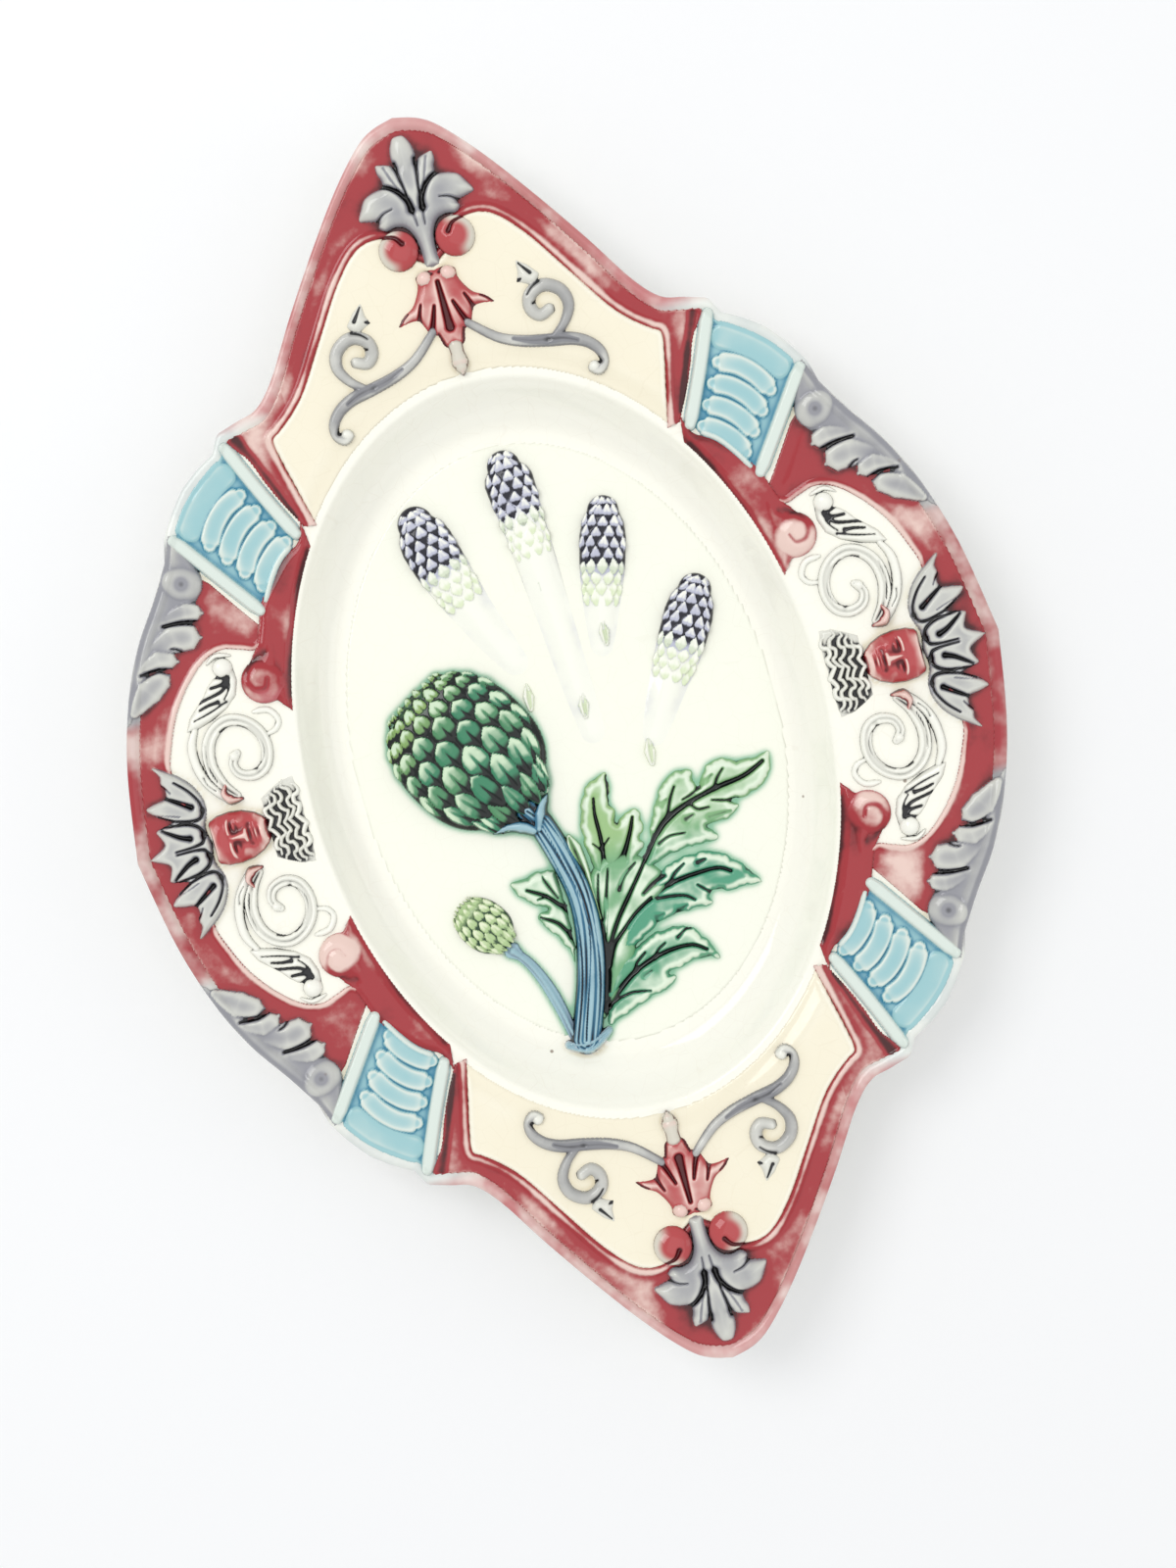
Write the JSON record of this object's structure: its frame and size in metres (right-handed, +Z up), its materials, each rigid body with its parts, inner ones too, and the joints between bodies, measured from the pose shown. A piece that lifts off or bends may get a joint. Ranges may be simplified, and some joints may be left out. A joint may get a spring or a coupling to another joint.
{
  "type": "asparagus plate",
  "caption": "Large moulded pottery serving plate with an oval well, lobed and pointed rim, foot ring and coloured relief of asparagus, artichoke, leaves, masks and scrolls.",
  "frame": {"origin": "middle of the plate's outline, in the plane the foot ring stands on", "axes": "+Y along the plate's length towards the asparagus tips, +X across it to the right seen from above, +Z up through the glazed face"},
  "size_m": [0.278, 0.4, 0.0355],
  "materials": {
    "ivory_glaze": "glossy coloured glaze",
    "cream_glaze": "glossy coloured glaze",
    "red_glaze": "glossy coloured glaze",
    "pink_glaze": "glossy coloured glaze",
    "turquoise_glaze": "glossy coloured glaze",
    "grey_glaze": "glossy coloured glaze",
    "pale_grey_glaze": "glossy coloured glaze",
    "green_glaze": "glossy coloured glaze",
    "blue_glaze": "glossy coloured glaze",
    "lavender_glaze": "glossy coloured glaze"
  },
  "bodies": {
    "root": {"platter_body": "ivory_glaze", "foot_ring": "ivory_glaze", "end_panel_top": "cream_glaze", "end_panel_bottom": "cream_glaze", "end_border_top": "red_glaze", "end_border_bottom": "red_glaze", "side_band_right": "red_glaze", "side_band_left": "red_glaze", "volute_strap_ne": "red_glaze", "volute_strap_nw": "red_glaze", "volute_strap_se": "red_glaze", "volute_strap_sw": "red_glaze", "panel_rails_ne": "turquoise_glaze", "panel_rails_nw": "turquoise_glaze", "panel_rails_se": "turquoise_glaze", "panel_rails_sw": "turquoise_glaze", "panel_flutes_ne": "turquoise_glaze", "panel_flutes_nw": "turquoise_glaze", "panel_flutes_se": "turquoise_glaze", "panel_flutes_sw": "turquoise_glaze", "acanthus_ne": "grey_glaze", "acanthus_nw": "grey_glaze", "acanthus_se": "grey_glaze", "acanthus_sw": "grey_glaze", "leaf_crown_right": "grey_glaze", "leaf_crown_left": "grey_glaze", "mask_face_right": "red_glaze", "mask_face_left": "red_glaze", "mask_beard_right": "grey_glaze", "mask_beard_left": "grey_glaze", "side_scroll_ne": "pale_grey_glaze", "side_scroll_nw": "pale_grey_glaze", "side_scroll_se": "pale_grey_glaze", "side_scroll_sw": "pale_grey_glaze", "palmette_top": "grey_glaze", "palmette_bottom": "grey_glaze", "end_balls_top": "red_glaze", "end_balls_bottom": "red_glaze", "bellflower_top": "pink_glaze", "bellflower_bottom": "pink_glaze", "end_scroll_ne": "pale_grey_glaze", "end_scroll_nw": "pale_grey_glaze", "end_scroll_se": "pale_grey_glaze", "end_scroll_sw": "pale_grey_glaze", "artichoke_head": "green_glaze", "artichoke_stalk": "blue_glaze", "bud_head": "green_glaze", "bud_stalk": "blue_glaze", "leaf_upright": "green_glaze", "leaf_upper": "green_glaze", "leaf_middle": "green_glaze", "leaf_lower": "green_glaze", "leaf_small": "green_glaze", "spear_1": "lavender_glaze", "spear_2": "lavender_glaze", "spear_3": "lavender_glaze", "spear_4": "lavender_glaze"}
  },
  "joints": []
}
